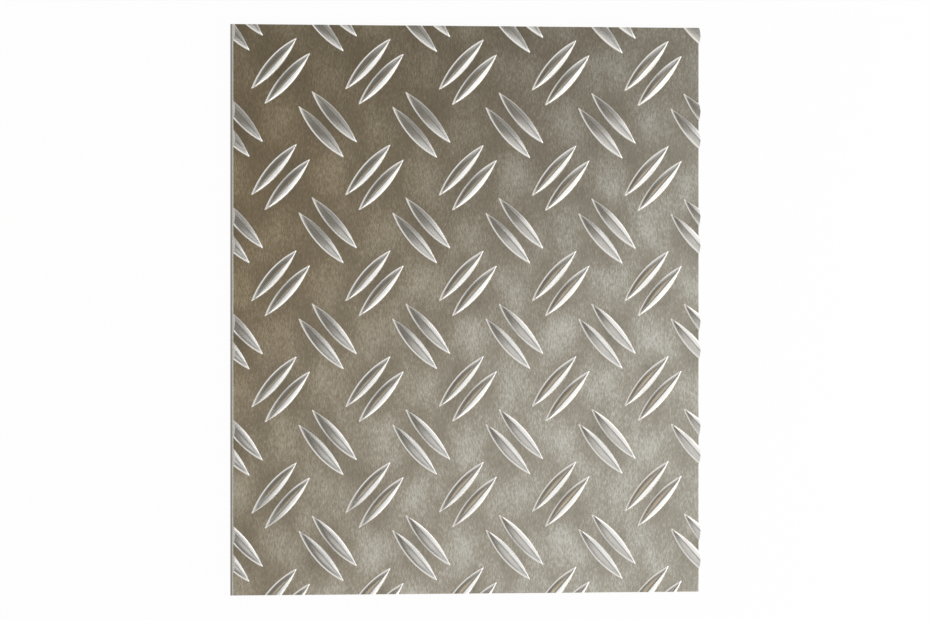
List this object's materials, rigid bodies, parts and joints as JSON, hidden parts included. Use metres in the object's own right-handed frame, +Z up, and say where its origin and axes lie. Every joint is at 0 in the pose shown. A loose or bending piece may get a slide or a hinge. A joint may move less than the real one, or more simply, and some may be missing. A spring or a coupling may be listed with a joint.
{
  "type": "aluminium tread plate",
  "caption": "Rectangular piece of rolled aluminium tread plate: a flat sheet whose upper face carries pairs of raised lens-shaped bars, turned crosswise for grip, with plain sheared edges.",
  "frame": {"origin": "middle of the flat underside", "axes": "+Z up out of the treaded face, +Y along the longer edges, which is the rolling direction, +X across"},
  "size_m": [0.2, 0.215, 0.004],
  "materials": {
    "mill_aluminium": "mill finish as rolled, fine grain along the sheet, brighter on the bars"
  },
  "bodies": {
    "root": {"tread_plate": "mill_aluminium"}
  },
  "joints": []
}
